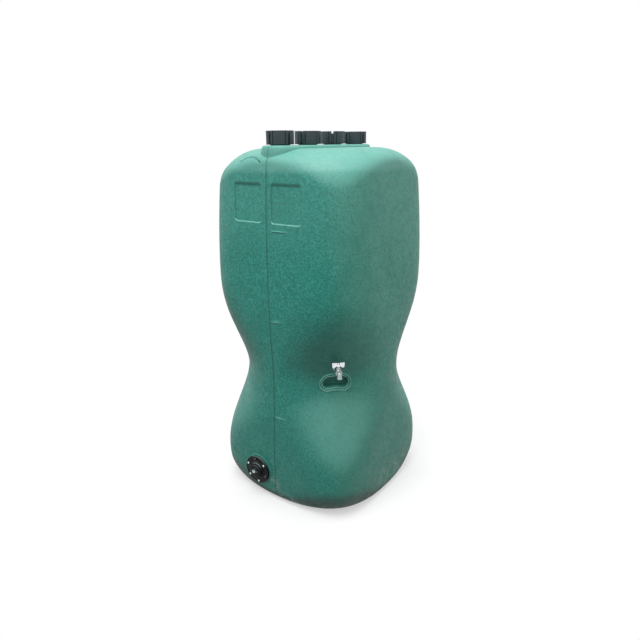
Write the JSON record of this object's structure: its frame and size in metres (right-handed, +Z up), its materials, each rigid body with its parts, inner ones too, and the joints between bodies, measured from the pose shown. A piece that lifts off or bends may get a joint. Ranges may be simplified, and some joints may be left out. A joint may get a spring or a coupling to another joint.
{
  "type": "rainwater tank",
  "caption": "Tall moulded plastic rainwater tank with a pinched waist, screw-capped filling necks on a raised strip, a tap over a corner hand grip, and a bolted drain flange.",
  "frame": {"origin": "middle of the flat base, where the tank stands", "axes": "+Z up, +Y along the row of caps away from the drain's face, +X to the right of the seam seen from the drain's face"},
  "size_m": [0.772, 0.8107, 1.6561],
  "materials": {
    "green_plastic": "satin, finely mottled green moulded polyethylene",
    "black_plastic": "dark blue-grey moulded plastic, slightly worn",
    "black_rubber": "matt black",
    "white_plastic": "off-white",
    "chrome": "polished plating",
    "brass": "plain machined",
    "plated_steel": "bright zinc plating"
  },
  "bodies": {
    "tank": {"tank_body": "green_plastic", "tap_body": "chrome", "tap_spout": "chrome", "tap_seat_rear": "white_plastic", "tap_seat_front": "white_plastic", "tap_gasket": "black_rubber", "tap_washer": "black_rubber", "tap_backnut": "brass", "tap_packing": "white_plastic", "tap_gland": "chrome", "drain_flange": "black_plastic", "drain_gasket": "black_rubber", "drain_backing_ring": "black_plastic", "drain_bolt_1": "plated_steel", "drain_bolt_2": "plated_steel", "drain_bolt_3": "plated_steel", "drain_bolt_4": "plated_steel", "drain_bolt_5": "plated_steel", "drain_bolt_6": "plated_steel", "drain_nut_1": "plated_steel", "drain_nut_2": "plated_steel", "drain_nut_3": "plated_steel", "drain_nut_4": "plated_steel", "drain_nut_5": "plated_steel", "drain_nut_6": "plated_steel"},
    "tap_lever": {"tap_handle": "chrome", "tap_stem": "plated_steel", "tap_ball": "chrome", "tap_handle_nut": "chrome"},
    "plug_seal": {"drain_plug_seal": "black_rubber"},
    "plug": {"drain_plug": "black_plastic"},
    "seal_1": {"cap_seal_1": "black_rubber"},
    "cap_1": {"cap_1": "black_plastic"},
    "seal_2": {"cap_seal_2": "black_rubber"},
    "cap_2": {"cap_2": "black_plastic"},
    "seal_3": {"cap_seal_3": "black_rubber"},
    "cap_3": {"cap_3": "black_plastic"},
    "seal_4": {"cap_seal_4": "black_rubber"},
    "cap_4": {"cap_4": "black_plastic"}
  },
  "joints": [
    {"name": "tap_turn", "type": "hinge", "parent": "tank", "child": "tap_lever", "pos_m": [0.30066, -0.30066, 0.7], "axis": [0, 0, 1], "range_deg": [0, 90]},
    {"name": "plug_travel", "type": "slide", "parent": "tank", "child": "plug_seal", "axis": [0, -1, 0], "range_m": [0, 0.0099]},
    {"name": "plug_turn", "type": "hinge", "parent": "plug_seal", "child": "plug", "pos_m": [-0.0996, -0.388, 0.1307], "axis": [0, -1, 0], "range_deg": [0, 1530]},
    {"name": "cap_1_rise", "type": "slide", "parent": "tank", "child": "seal_1", "axis": [0, 0, 1], "range_m": [0, 0.0166]},
    {"name": "cap_1_turn", "type": "hinge", "parent": "seal_1", "child": "cap_1", "pos_m": [0, -0.2739, 1.6], "axis": [0, 0, 1], "range_deg": [0, 990]},
    {"name": "cap_2_rise", "type": "slide", "parent": "tank", "child": "seal_2", "axis": [0, 0, 1], "range_m": [0, 0.0166]},
    {"name": "cap_2_turn", "type": "hinge", "parent": "seal_2", "child": "cap_2", "pos_m": [0, -0.0913, 1.6], "axis": [0, 0, 1], "range_deg": [0, 990]},
    {"name": "cap_3_rise", "type": "slide", "parent": "tank", "child": "seal_3", "axis": [0, 0, 1], "range_m": [0, 0.0166]},
    {"name": "cap_3_turn", "type": "hinge", "parent": "seal_3", "child": "cap_3", "pos_m": [0, 0.0913, 1.6], "axis": [0, 0, 1], "range_deg": [0, 990]},
    {"name": "cap_4_rise", "type": "slide", "parent": "tank", "child": "seal_4", "axis": [0, 0, 1], "range_m": [0, 0.0166]},
    {"name": "cap_4_turn", "type": "hinge", "parent": "seal_4", "child": "cap_4", "pos_m": [0, 0.2739, 1.6], "axis": [0, 0, 1], "range_deg": [0, 990]}
  ],
  "couplings": [
    {"joint": "plug_travel", "follows": "plug_turn", "m_per_rad": 0.00036606},
    {"joint": "cap_1_rise", "follows": "cap_1_turn", "m_per_rad": 0.00095493},
    {"joint": "cap_2_rise", "follows": "cap_2_turn", "m_per_rad": 0.00095493},
    {"joint": "cap_3_rise", "follows": "cap_3_turn", "m_per_rad": 0.00095493},
    {"joint": "cap_4_rise", "follows": "cap_4_turn", "m_per_rad": 0.00095493}
  ]
}
